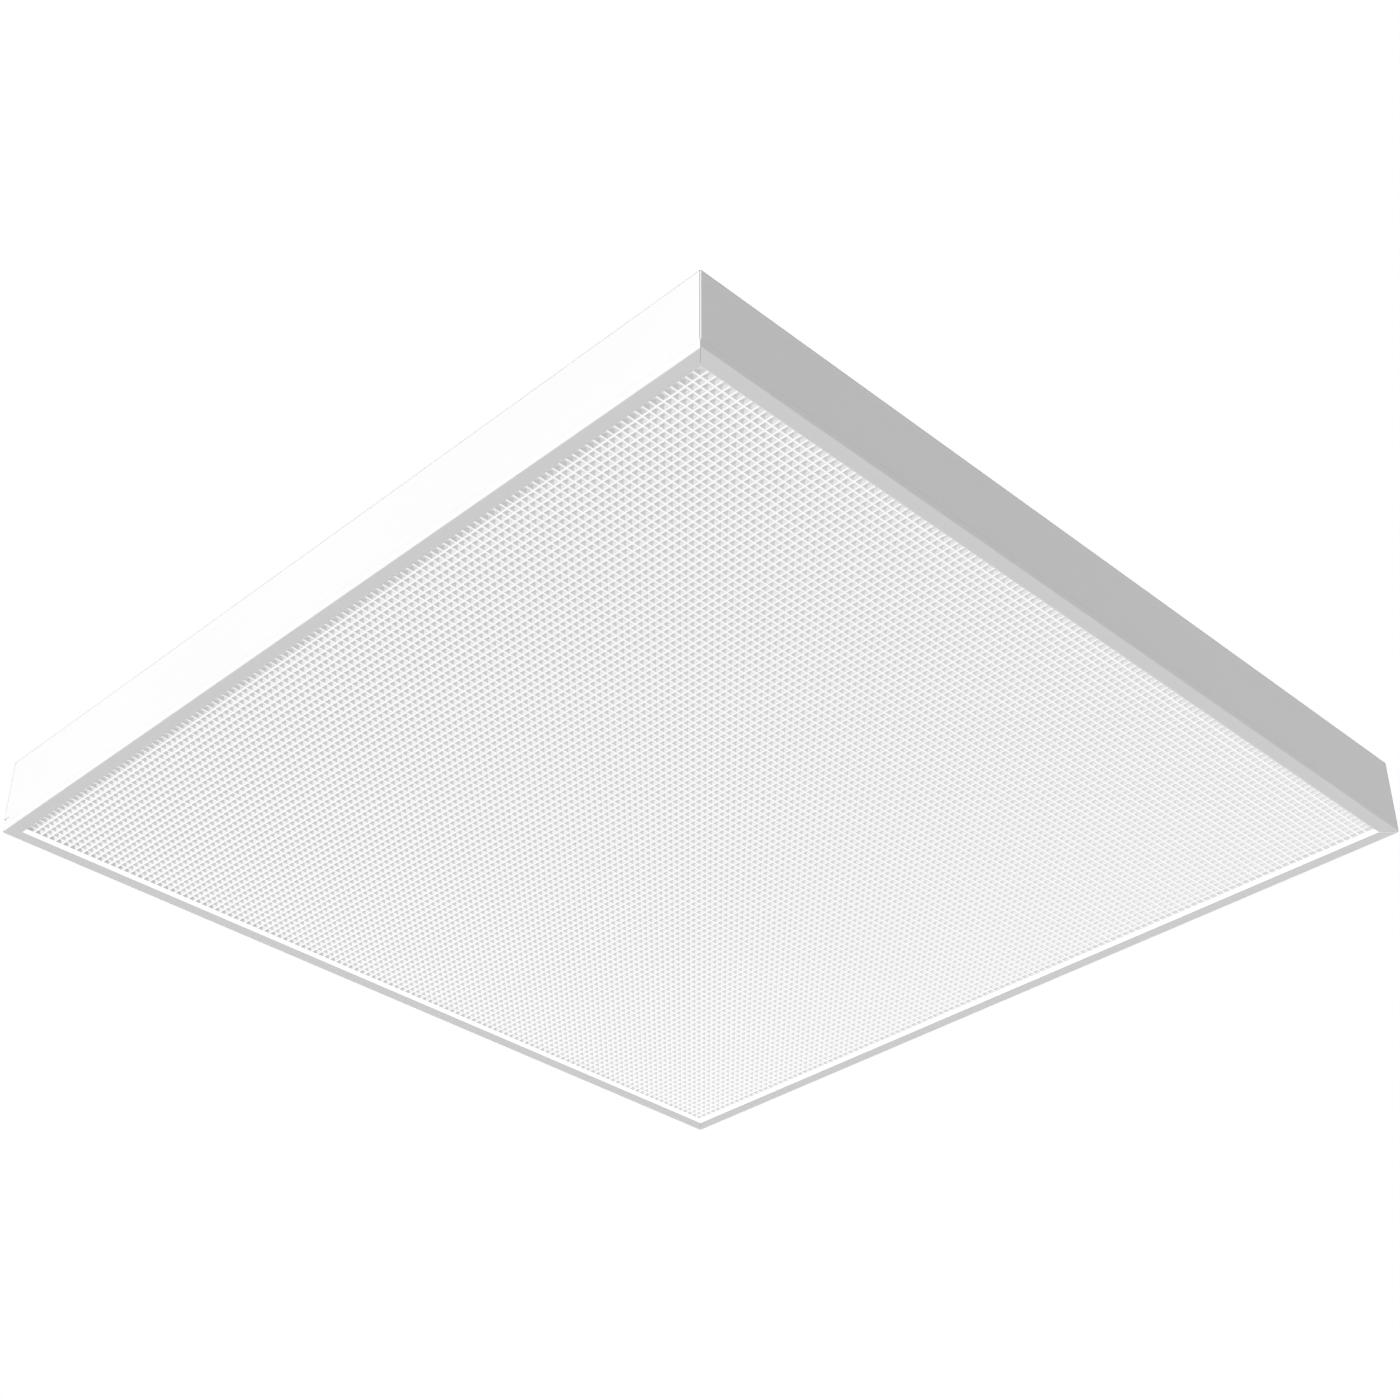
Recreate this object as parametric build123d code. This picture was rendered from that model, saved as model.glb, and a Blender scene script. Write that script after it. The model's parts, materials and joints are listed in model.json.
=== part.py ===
from build123d import *
import math
import os

# A square ceiling light for a 600 mm grid: a folded steel tray with LED boards, driver and
# wiring inside, and a mitred frame that carries a prismatic lens and swings down on two hinges.
# Origin: centre of the frame's underside. +Z points up into the ceiling. Millimetres.
# "front" is -Y, "back" is +Y (the hinge side), "left" is -X, "right" is +X.

# ---- driving dimensions ----
SIDE = 595.0  # outside of the frame, each way
HEIGHT = 50.0  # frame underside to the tray's top
SHEET = 0.6  # steel sheet of the tray, the frame and the gear cover

# frame rails, in the rail's own section: s is the distance in from the outer face
SKIRT_HEIGHT = 5.0
HINGE_SKIRT_HEIGHT = 4.0  # the back rail's skirt clears the tray wall as the frame turns
RAIL_WIDTH = 9.4
LEDGE_TOP = 2.1
LEDGE_TIP = 4.9
RAIL_FOLD = 0.35  # radius on the sheet's centre line
MITRE_GAP = 0.16
OPEN_MITRE_GAP = 1.0  # the front right mitre stands open
MITRE_DEPTH = 20.0
KEY_THICKNESS = 0.8
KEY_INSET = (2.5, 8.2)  # outer and inner edge of a corner key's leg
KEY_REACH = 32.0

# lens
LENS_SIDE = 585.0
LENS_THICKNESS = 2.6
LENS_CLIP_WIDTH = 12.0
LENS_CLIP_SHEET = 0.4
LENS_CLIP_FEET = (8.0, 8.5)  # inner ends under the ledge and over the lens
LENS_CLIP_PLACES = {0: (-90.0, 90.0), 1: (-150.0, 150.0), 3: (-150.0, 150.0)}  # by side

# tray: its walls stand over the frame's skirt, and their rim steps in behind it
WALL_INSET = 0.1  # outside of the tray wall, in from the frame's outer face
RIM_INSET = 0.9  # outside of the rim behind the skirt
RIM_BOTTOM = 1.0
HINGE_RIM_BOTTOM = 3.0
STEP_Z = 5.2  # where the wall steps in to the rim
HINGE_STEP_Z = 8.6  # the same along the back, clear of the turning skirt
HINGE_STEP_REACH = 6.5  # how far that runs round on to the side walls
STEP_THICKNESS = 0.8
CORNER_CHAMFER = 0.5
SEAM_WIDTH = 0.3
SEAM_DEPTH = 0.35
TOP_FOLD = 0.8
BEAD_Y = {110.0: 480.0, 170.0: 480.0, 245.0: 360.0}  # pressed stiffening beads: place and length
BEAD_WIDTH = 12.0
BEAD_RISE = 2.0
BEAD_TAPER = 35.0

# hinges
HINGE_X = (-200.0, 200.0)
HINGE_AXIS_INSET = 2.0
HINGE_AXIS_Z = 5.5
KNUCKLE_RADIUS = 1.7
PIN_RADIUS = 0.8
PIN_CLEARANCE = 0.05
HINGE_LENGTH = 40.0
KNUCKLE_SPLIT = 10.0
KNUCKLE_GAP = 0.3
HINGE_WINDOW = 44.0
HINGE_WINDOW_TOP = 9.6
HINGE_LEAF_Z = (8.0, 24.0)
HINGE_FOOT = 8.3  # inner edge of the moving leaf's foot, in from the frame's outer face
PIN_END = (0.6, 1.3)  # length and radius of a pin's upset end

# rivets of the hinges, flush outside
RIVET_X = 12.0  # to each side of a hinge's middle
RIVET_Z = 17.0
RIVET_RADIUS = 1.2
RIVET_HEAD = (2.0, 0.3)
RIVET_TAIL = (2.0, 0.7)
HOLE_PLAY = 0.05

# catches on the front wall
CATCH_X = (-180.0, 180.0)
CATCH_WIDTH = 14.0
CATCH_SHEET = 0.5
CATCH_FOLD = 1.5
KEEPER_FOLD = 0.6
CATCH_HEIGHTS = (34.0, 17.0, 12.0, 7.5)  # top, the two bends and the tip of a catch spring
CATCH_NOSE = (3.15, 1.95)  # how far in its second bend and its tip stand
KEEPER_FOOT = 8.2
KEEPER_STEM = 4.15
KEEPER_NOSE = 3.35
KEEPER_HEIGHTS = (13.2, 14.7, 16.4)

# LED boards
BOARD_Y = (-210.0, -70.0, 70.0, 210.0)
BOARD_LENGTH = 560.0
BOARD_WIDTH = 24.0
BOARD_THICKNESS = 1.6
LED_PITCH = 20.0
LEDS_PER_BOARD = 28
LED_SIZE = (3.0, 2.8, 0.7)
BOARD_SCREW_X = (-260.0, -80.0, 80.0, 260.0)
CONNECTOR_X = -262.0
CONNECTOR_SIZE = (12.0, 7.0, 4.0)
CONNECTOR_SLOT = (0.6, 0.8, 1.0)  # half size along X and Y, depth
CONNECTOR_POLE = 2.0  # from the connector's middle to each of its two slots

# driver, on the middle line
DRIVER_X = -30.0
DRIVER_LENGTH = 280.0
DRIVER_WIDTH = 30.0
DRIVER_HEIGHT = 21.0
DRIVER_FLANGE = 10.0
DRIVER_COVER_HALF = 118.0  # half the cover's length
DRIVER_COVER_RIM = 9.0
DRIVER_COVER_PLAY = 0.1
DRIVER_END_GAP = 0.3  # between the cover's ends and the circuit board
INSULATOR_THICKNESS = 0.4
INSULATOR_INSET = 1.0
CIRCUIT_INSET = (2.0, 1.5)  # from the driver's ends and sides
VENT_PITCH = 8.0
VENTS_EACH_WAY = 6
VENT_HALF = (1.2, 8.0)
CORE_X = (-30.0, -4.0)  # from the driver's middle, like the places below
CORE_HALF_WIDTH = 11.0
CORE_DEPTH = (2.0, 15.0)  # below the circuit board
WINDING_X = (-26.0, -8.0)
WINDING_HALF_WIDTH = 8.5
WINDING_DEPTH = 16.0
CHOKE_X = 70.0
CHOKE_DEPTH = (3.0, 11.0)  # of its bore's floor and of its end
CHOKE_RADII = (3.5, 8.0)
CAN_PLACES = ((24, -6.5), (24, 6.5), (38, -6.5), (38, 6.5), (-70, 0), (-86, 0))
CAN_RADIUS = 5.0
CAN_DEPTH = 16.0
DRIVER_TERMINAL = (16.0, 12.0, 12.0)  # length, half width, depth
DRIVER_TERMINAL_INSET = 4.0
DRIVER_POLE = (6.0, 1.8, 3.0)  # Y place, radius and depth of each wire hole

# mains terminal block
TERMINAL_X = 185.0
POLES = {"line": 10.0, "neutral": 0.0, "earth": -10.0}
TERMINAL_SIZE = (20.0, 34.0, 16.0)
POCKET = 5.6
BUTTON = 5.0
BUTTON_PROUD = 1.5
BUTTON_LENGTH = 5.5
BUTTON_SLOT = (0.4, 0.6)  # half width and depth
WIRE_ENTRY_Z = 42.0
WIRE_ENTRY = 1.6  # radius
EAR_HALF = 5.0
EAR_REACH = 6.0
EAR_THICKNESS = 4.0
EAR_SCREW_Y = (-20.0, 20.0)
POCKET_ROOF = 3.0
SPRING_X = (-2.2, 1.9)  # the clamp spring's leg and its tip, from the pole's middle
SPRING_PLAY = (0.3, 0.6, 2.4)  # below the roof, above the button, tip below the roof
SPRING_FOLD = 0.8
SPRING_SHEET = 0.4
SPRING_HALF = 2.0

# gear cover
COVER_X = (-190.0, 272.0)
COVER_HALF_TOP = 36.0
COVER_HALF_BOTTOM = 30.0
COVER_FLANGE = 10.0
COVER_BOTTOM = 21.4
COVER_FOLD = 1.0
COVER_SCREWS = [(x, y) for x in (-150.0, 230.0) for y in (-41.0, 41.0)]
COVER_WIRE_SLOTS = ((3.0, 13.0), (-13.0, -3.0))  # along Y, in the left end
COVER_SLOT_BOTTOM = 44.5

# cable entry, suspension holes, grid clips
GROMMET_X = 245.0
GROMMET_BORE = 5.5
GROMMET_HOLE = 9.0
GROMMET_FLANGE = (12.0, 1.5)  # radius and thickness, inside and outside the sheet
GROMMET_PLAY = 0.05
SUSPENSION_X = 200.0
SUSPENSION_Y = 140.0
SUSPENSION_HOLE = 3.25
CLIP_PIVOT_X = 250.0
CLIP_PIVOT_Y = 280.0
CLIP_REACH = 42.0
CLIP_WIDTH = 14.0
CLIP_THICKNESS = 1.0
CLIP_PIVOT_RADIUS = 2.0
CLIP_PLAY = 0.06
CLIP_LIFT = 0.45  # of the clip above the tray's top
CLIP_LIP = 4.0  # height of its upturned end
PIVOT_COLLAR = (5.0, 0.4)  # radius and thickness, under the clip
PIVOT_HEAD = (4.0, 1.0, 0.05)  # radius, thickness and play above the clip
PIVOT_TAIL = (3.2, 1.0)  # the same inside the tray

# earth stud and its stack
EARTH_STUD = (125.0, -25.0)
STUD_RADIUS = 1.95
STUD_LENGTH = 10.0
LUG_RADII = (2.05, 4.0)
LUG_THICKNESS = 0.8
LUG_NECK = (2.0, 7.0, 2.0)  # from X to X off the stud, half width
LUG_BARREL = (6.0, 12.0, 1.4)  # from X to X off the stud, radius
WASHER_THICKNESS = 0.8
NUT_RADII = (2.0, 4.04)
NUT_THICKNESS = 3.2

# screws and wires
SCREW_RADIUS = 1.45
SCREW_HOLE = 1.5
SCREW_PASSAGE = 1.6  # hole in what a screw holds
SCREW_HEAD = (2.75, 1.8)
SCREW_CROSS = (1.6, 0.4, 1.0)  # half length, half width, depth
SCREW_TIP_Z = 51.5
SUPPLY_WIRE = 1.2
LED_WIRE = 1.0
ARC_SHARE = 0.45  # of the shorter run beside each bend

# ---- derived places ----
HALF = SIDE / 2
WALL = HALF - WALL_INSET  # outside of the tray wall
WALL_INNER = WALL - SHEET
RIM = HALF - RIM_INSET
RIM_INNER = RIM - SHEET
CEILING = HEIGHT - SHEET  # inside of the tray's top
HINGE_Y = HALF - HINGE_AXIS_INSET
FLOOR_TOP = SHEET
BOARD_FACE = CEILING - BOARD_THICKNESS


# ---- small helpers ----
def block(x, y, z):
    """Box between two values on each axis."""
    size = Box(x[1] - x[0], y[1] - y[0], z[1] - z[0])
    return Pos(sum(x) / 2, sum(y) / 2, sum(z) / 2) * size


def post(x, y, z, radius):
    """Upright cylinder from z[0] to z[1]."""
    return Pos(x, y, sum(z) / 2) * Cylinder(radius, z[1] - z[0])


def bar_x(x, y, z, radius):
    """Cylinder along X from x[0] to x[1]."""
    return Pos(sum(x) / 2, y, z) * Rot(0, 90, 0) * Cylinder(radius, x[1] - x[0])


def bar_y(x, y, z, radius):
    """Cylinder along Y from y[0] to y[1]."""
    return Pos(x, sum(y) / 2, z) * Rot(90, 0, 0) * Cylinder(radius, y[1] - y[0])


def strip(points, radii, thickness, x):
    """Bent sheet: a centre line in the YZ plane, thickened, along X from x[0] to x[1]."""
    section = trace(FilletPolyline(*points, radius=radii), line_width=thickness)
    return Pos(x[0], 0, 0) * extrude(Plane.YZ * section, x[1] - x[0])


def at_front(points):
    """Points (s, z) of a front rail section as (y, z)."""
    return [(s - HALF, z) for s, z in points]


def turned(shape, quarter):
    """A front side piece turned to another side: 1 right, 2 back, 3 left."""
    return Rot(0, 0, 90 * quarter) * shape


def group(shapes):
    return Compound(children=list(shapes))


def screw(x, y, face, tip=SCREW_TIP_Z):
    """Pan-head screw driven upward, its head under the given face."""
    radius, depth = SCREW_HEAD
    head = post(x, y, (face - depth, face), radius)
    shank = post(x, y, (face, tip), SCREW_RADIUS)
    long, narrow, recess = SCREW_CROSS
    z = (face - depth, face - depth + recess)
    cross = block((x - long, x + long), (y - narrow, y + narrow), z)
    cross += block((x - narrow, x + narrow), (y - long, y + long), z)
    return head + shank - cross


def wire(points, radius):
    """Round lead on straight runs joined by tangent arcs as large as the runs allow."""
    spots = [Vector(*p) for p in points]
    runs = [b - a for a, b in zip(spots, spots[1:])]
    radii = []
    for one, two in zip(runs, runs[1:]):
        half_turn = math.radians(one.get_angle(two)) / 2
        radii.append(ARC_SHARE * min(one.length, two.length) / math.tan(half_turn))
    path = FilletPolyline(*points, radius=radii)
    lead = sweep(Plane(origin=path @ 0, z_dir=path % 0) * Circle(radius), path=path)
    share = lead.volume / (math.pi * radius**2 * path.length)
    print(f"wire: length {path.length:.1f}, least bend {min(radii):.1f}, volume share {share:.3f}")
    return lead


# ---- tray ----
def octagon(half, chamfer_leg, z):
    """Square prism with its upright corners cut."""
    square = Rectangle(2 * half, 2 * half)
    outline = chamfer(square.vertices(), chamfer_leg)
    return Pos(0, 0, z[0]) * extrude(outline, z[1] - z[0])


def tray_holes():
    """Every round hole in the tray's top."""
    spots = [(x, y, SCREW_HOLE) for x in BOARD_SCREW_X for y in BOARD_Y]
    spots += [(x, 0.0, SCREW_HOLE) for x in driver_screw_x()]
    spots += [(TERMINAL_X, y, SCREW_HOLE) for y in EAR_SCREW_Y]
    spots += [(x, y, SCREW_HOLE) for x, y in COVER_SCREWS]
    spots += [(x, y, SUSPENSION_HOLE) for x in (-SUSPENSION_X, SUSPENSION_X)
              for y in (-SUSPENSION_Y, SUSPENSION_Y)]
    spots += [(x, y, CLIP_PIVOT_RADIUS + PIN_CLEARANCE) for x in (-CLIP_PIVOT_X, CLIP_PIVOT_X)
              for y in (-CLIP_PIVOT_Y, CLIP_PIVOT_Y)]
    spots.append((GROMMET_X, 0.0, GROMMET_HOLE))
    return [post(x, y, (CEILING - 1, HEIGHT + 1), radius) for x, y, radius in spots]


def stiffening_beads(tray):
    """Long beads pressed up out of the tray's top, on both sides of its middle."""
    for place, length in BEAD_Y.items():
        for y in (-place, place):
            outline = Pos(0, y, HEIGHT) * SlotOverall(length, BEAD_WIDTH)
            hollow = Pos(0, y, CEILING) * SlotOverall(length - 2 * SHEET, BEAD_WIDTH - 2 * SHEET)
            tray += extrude(outline, BEAD_RISE, taper=BEAD_TAPER)
            tray -= extrude(hollow, BEAD_RISE, taper=BEAD_TAPER)
    return tray


def stepped_prism(wall, rim, chamfer_leg, bottom, rise, top, reach):
    """The tray's outside or its hollow: wide above the step, narrow below it, and with the
    step raised along the back, from reach onwards."""
    back = block((-HALF, HALF), (reach, HALF), (0, HINGE_STEP_Z + rise))
    wide = octagon(wall, chamfer_leg, (STEP_Z + rise, top))
    return (wide - back) + octagon(rim, chamfer_leg, (bottom, HINGE_STEP_Z + STEP_THICKNESS))


def housing_tray():
    inner_chamfer = CORNER_CHAMFER - SHEET * (2 - math.sqrt(2))
    back = HALF - HINGE_STEP_REACH
    outside = stepped_prism(WALL, RIM, CORNER_CHAMFER, RIM_BOTTOM, 0, HEIGHT, back)
    outside = fillet(outside.edges().group_by(Axis.Z)[-1], TOP_FOLD)
    tray = outside - stepped_prism(WALL_INNER, RIM_INNER, inner_chamfer, 0, STEP_THICKNESS,
                                   CEILING, back - STEP_THICKNESS)
    reach = RIM_INNER - inner_chamfer
    tray -= block((-reach, reach), (RIM_INNER - 1, HALF), (0, HINGE_RIM_BOTTOM))
    for x in HINGE_X:
        half = HINGE_WINDOW / 2
        tray -= block((x - half, x + half), (RIM_INNER - 1, HALF), (0, HINGE_WINDOW_TOP))
        for rivet_x in (x - RIVET_X, x + RIVET_X):
            radius, depth = RIVET_HEAD
            tray -= bar_y(rivet_x, (RIM_INNER, HALF), RIVET_Z, RIVET_RADIUS + HOLE_PLAY)
            tray -= bar_y(rivet_x, (WALL - depth, HALF), RIVET_Z, radius + HOLE_PLAY)
    groove = block((-HALF, -WALL + SEAM_DEPTH),
                   (-WALL + CORNER_CHAMFER, -WALL + CORNER_CHAMFER + SEAM_WIDTH),
                   (STEP_Z - 1, HEIGHT + 1))
    for quarter in range(4):
        tray -= turned(groove, quarter)
    tray = stiffening_beads(tray)
    for hole in tray_holes():
        tray -= hole
    return {"housing_tray": tray}


# ---- LED boards ----
def led_boards():
    parts = {}
    packages = []
    for number, y in enumerate(BOARD_Y, start=1):
        board = block((-BOARD_LENGTH / 2, BOARD_LENGTH / 2),
                      (y - BOARD_WIDTH / 2, y + BOARD_WIDTH / 2), (BOARD_FACE, CEILING))
        for x in BOARD_SCREW_X:
            board -= post(x, y, (BOARD_FACE - 1, CEILING + 1), SCREW_PASSAGE)
        parts[f"led_board_{number}"] = board
        first = -LED_PITCH * (LEDS_PER_BOARD - 1) / 2
        z = BOARD_FACE - LED_SIZE[2] / 2
        for index in range(LEDS_PER_BOARD):
            packages.append(Pos(first + index * LED_PITCH, y, z) * Box(*LED_SIZE))
    parts["led_packages"] = group(packages)
    parts["led_board_screws"] = group(screw(x, y, BOARD_FACE) for x in BOARD_SCREW_X
                                      for y in BOARD_Y)
    return parts


def connector_rows():
    """Middle Y of each connector: both edges of the inner boards, one of the outer."""
    edge = (BOARD_WIDTH - CONNECTOR_SIZE[1]) / 2
    rows = [BOARD_Y[2] - edge, BOARD_Y[2] + edge, BOARD_Y[3] - edge]
    return rows + [-y for y in rows]


def led_connectors():
    length, width, depth = CONNECTOR_SIZE
    half_x, half_y, slot_depth = CONNECTOR_SLOT
    face = BOARD_FACE - depth
    bodies = []
    for y in connector_rows():
        body = Pos(CONNECTOR_X, y, face + depth / 2) * Box(length, width, depth)
        for x in (CONNECTOR_X - CONNECTOR_POLE, CONNECTOR_X + CONNECTOR_POLE):
            body -= block((x - half_x, x + half_x), (y - half_y, y + half_y),
                          (face - 1, face + slot_depth))
        bodies.append(body)
    return {"led_board_connectors": group(bodies)}


# ---- driver ----
def driver_screw_x():
    reach = DRIVER_LENGTH / 2 + DRIVER_FLANGE / 2
    return (DRIVER_X - reach, DRIVER_X + reach)


def driver_box(span, side, plate_face, bottom, board_face):
    """The driver's base channel and the vented cover that snaps into it."""
    base = block((span[0] - DRIVER_FLANGE, span[1] + DRIVER_FLANGE), (-side, side),
                 (plate_face, CEILING))
    for x in driver_screw_x():
        base -= post(x, 0, (plate_face - 1, CEILING + 1), SCREW_PASSAGE)
    for low, high in ((-side, -side + SHEET), (side - SHEET, side)):
        base += block(span, (low, high), (bottom, CEILING))

    fit = side - SHEET - DRIVER_COVER_PLAY
    left, right = DRIVER_X - DRIVER_COVER_HALF, DRIVER_X + DRIVER_COVER_HALF
    cover = block((left, right), (-fit, fit), (bottom, bottom + SHEET))
    for low, high in ((-fit, -fit + SHEET), (fit - SHEET, fit)):
        cover += block((left, right), (low, high), (bottom, bottom + DRIVER_COVER_RIM))
    for low, high in ((left, left + SHEET), (right - SHEET, right)):
        cover += block((low, high), (-fit, fit), (bottom, board_face - DRIVER_END_GAP))
    half_x, half_y = VENT_HALF
    for index in range(-VENTS_EACH_WAY, VENTS_EACH_WAY + 1):
        x = DRIVER_X + index * VENT_PITCH
        cover -= block((x - half_x, x + half_x), (-half_y, half_y), (bottom - 1, bottom + SHEET + 1))
    return base, cover


def driver_terminals(span, board_face):
    length, half_width, depth = DRIVER_TERMINAL
    pole_y, pole_radius, pole_depth = DRIVER_POLE
    face = board_face - depth
    starts = {"input": span[1] - DRIVER_TERMINAL_INSET - length,
              "output": span[0] + DRIVER_TERMINAL_INSET}
    terminals = {}
    for name, x in starts.items():
        body = block((x, x + length), (-half_width, half_width), (face, board_face))
        for y in (-pole_y, pole_y):
            body -= post(x + length / 2, y, (face - 1, face + pole_depth), pole_radius)
        terminals[f"driver_{name}_terminal"] = body
    return terminals


def driver():
    half = DRIVER_LENGTH / 2
    side = DRIVER_WIDTH / 2
    plate_face = CEILING - SHEET
    bottom = CEILING - DRIVER_HEIGHT
    insulator_face = plate_face - INSULATOR_THICKNESS
    board_face = insulator_face - BOARD_THICKNESS
    span = (DRIVER_X - half, DRIVER_X + half)
    base, cover = driver_box(span, side, plate_face, bottom, board_face)

    inset = INSULATOR_INSET
    insulator = block((span[0] + inset, span[1] - inset), (-side + inset, side - inset),
                      (insulator_face, plate_face))
    end_inset, side_inset = CIRCUIT_INSET
    board = block((span[0] + end_inset, span[1] - end_inset), (-side + side_inset, side - side_inset),
                  (board_face, insulator_face))

    near, deep = CORE_DEPTH
    core = block([DRIVER_X + x for x in CORE_X], (-CORE_HALF_WIDTH, CORE_HALF_WIDTH),
                 (board_face - deep, board_face - near))
    winding = block([DRIVER_X + x for x in WINDING_X], (-WINDING_HALF_WIDTH, WINDING_HALF_WIDTH),
                    (board_face - WINDING_DEPTH, board_face))
    bore, outer = CHOKE_RADII
    bore_floor, choke_end = CHOKE_DEPTH
    choke = post(DRIVER_X + CHOKE_X, 0, (board_face - choke_end, board_face), outer)
    choke -= post(DRIVER_X + CHOKE_X, 0, (board_face - choke_end - 1, board_face - bore_floor), bore)
    cans = [post(DRIVER_X + x, y, (board_face - CAN_DEPTH, board_face), CAN_RADIUS)
            for x, y in CAN_PLACES]
    return {
        "driver_base": base,
        "driver_cover": cover,
        "driver_insulator": insulator,
        "driver_circuit_board": board,
        "driver_transformer": core + winding,
        "driver_choke": choke,
        "driver_capacitors": group(cans),
        **driver_terminals(span, board_face),
    }


# ---- mains terminal block, with sprung push buttons ----
def clamp_spring(y, tip, roof):
    """Bent leaf between a pole's roof and its button."""
    leg, end = SPRING_X
    roof_play, button_play, tip_play = SPRING_PLAY
    line = [(leg, roof - roof_play), (leg, tip + BUTTON_LENGTH + button_play),
            (end, roof - tip_play)]
    section = trace(FilletPolyline(*line, radius=SPRING_FOLD), line_width=SPRING_SHEET)
    return Pos(TERMINAL_X, y, 0) * extrude(Plane.XZ * section, SPRING_HALF, both=True)


def terminal_block():
    length, width, depth = TERMINAL_SIZE
    face = CEILING - depth
    x_span = (TERMINAL_X - length / 2, TERMINAL_X + length / 2)
    ear_top = CEILING - EAR_THICKNESS
    ear_y = width / 2 + EAR_REACH
    body = block(x_span, (-width / 2, width / 2), (face, CEILING))
    body += block((TERMINAL_X - EAR_HALF, TERMINAL_X + EAR_HALF), (-ear_y, ear_y), (ear_top, CEILING))
    roof = CEILING - POCKET_ROOF
    tip = face - BUTTON_PROUD
    slot_half, slot_depth = BUTTON_SLOT
    half = POCKET / 2
    button_x = (TERMINAL_X - BUTTON / 2, TERMINAL_X + BUTTON / 2)
    parts = {}
    for name, y in POLES.items():
        body -= block((TERMINAL_X - half, TERMINAL_X + half), (y - half, y + half), (face - 1, roof))
        body -= bar_x((x_span[0] - 1, x_span[1] + 1), y, WIRE_ENTRY_Z, WIRE_ENTRY)
        button = block(button_x, (y - BUTTON / 2, y + BUTTON / 2), (tip, tip + BUTTON_LENGTH))
        button -= block(button_x, (y - slot_half, y + slot_half), (tip - 1, tip + slot_depth))
        parts[f"terminal_button_{name}"] = button
        parts[f"terminal_spring_{name}"] = clamp_spring(y, tip, roof)
    for y in EAR_SCREW_Y:
        body -= post(TERMINAL_X, y, (ear_top - 1, CEILING + 1), SCREW_PASSAGE)
    parts["terminal_block"] = body
    parts["terminal_block_screws"] = group(screw(TERMINAL_X, y, ear_top) for y in EAR_SCREW_Y)
    return parts


# ---- earth stud ----
def earth_point():
    x, y = EARTH_STUD
    bore, outer = LUG_RADII
    lug_face = CEILING - LUG_THICKNESS
    washer_face = lug_face - WASHER_THICKNESS
    nut_face = washer_face - NUT_THICKNESS
    stud = post(x, y, (CEILING - STUD_LENGTH, CEILING), STUD_RADIUS)
    neck_start, neck_end, neck_half = LUG_NECK
    barrel_start, barrel_end, barrel_radius = LUG_BARREL
    lug = post(x, y, (lug_face, CEILING), outer)
    lug += block((x + neck_start, x + neck_end), (y - neck_half, y + neck_half), (lug_face, CEILING))
    lug += bar_x((x + barrel_start, x + barrel_end), y, CEILING - barrel_radius, barrel_radius)
    lug -= post(x, y, (lug_face - 1, CEILING + 1), bore)
    washer = post(x, y, (washer_face, lug_face), outer) - post(x, y, (0, CEILING), bore)
    nut_bore, nut_outer = NUT_RADII
    nut = Pos(x, y, nut_face) * extrude(RegularPolygon(nut_outer, 6), NUT_THICKNESS)
    nut -= post(x, y, (0, CEILING), nut_bore)
    return {"earth_stud": stud, "earth_lug": lug, "earth_washer": washer, "earth_nut": nut}


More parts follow.
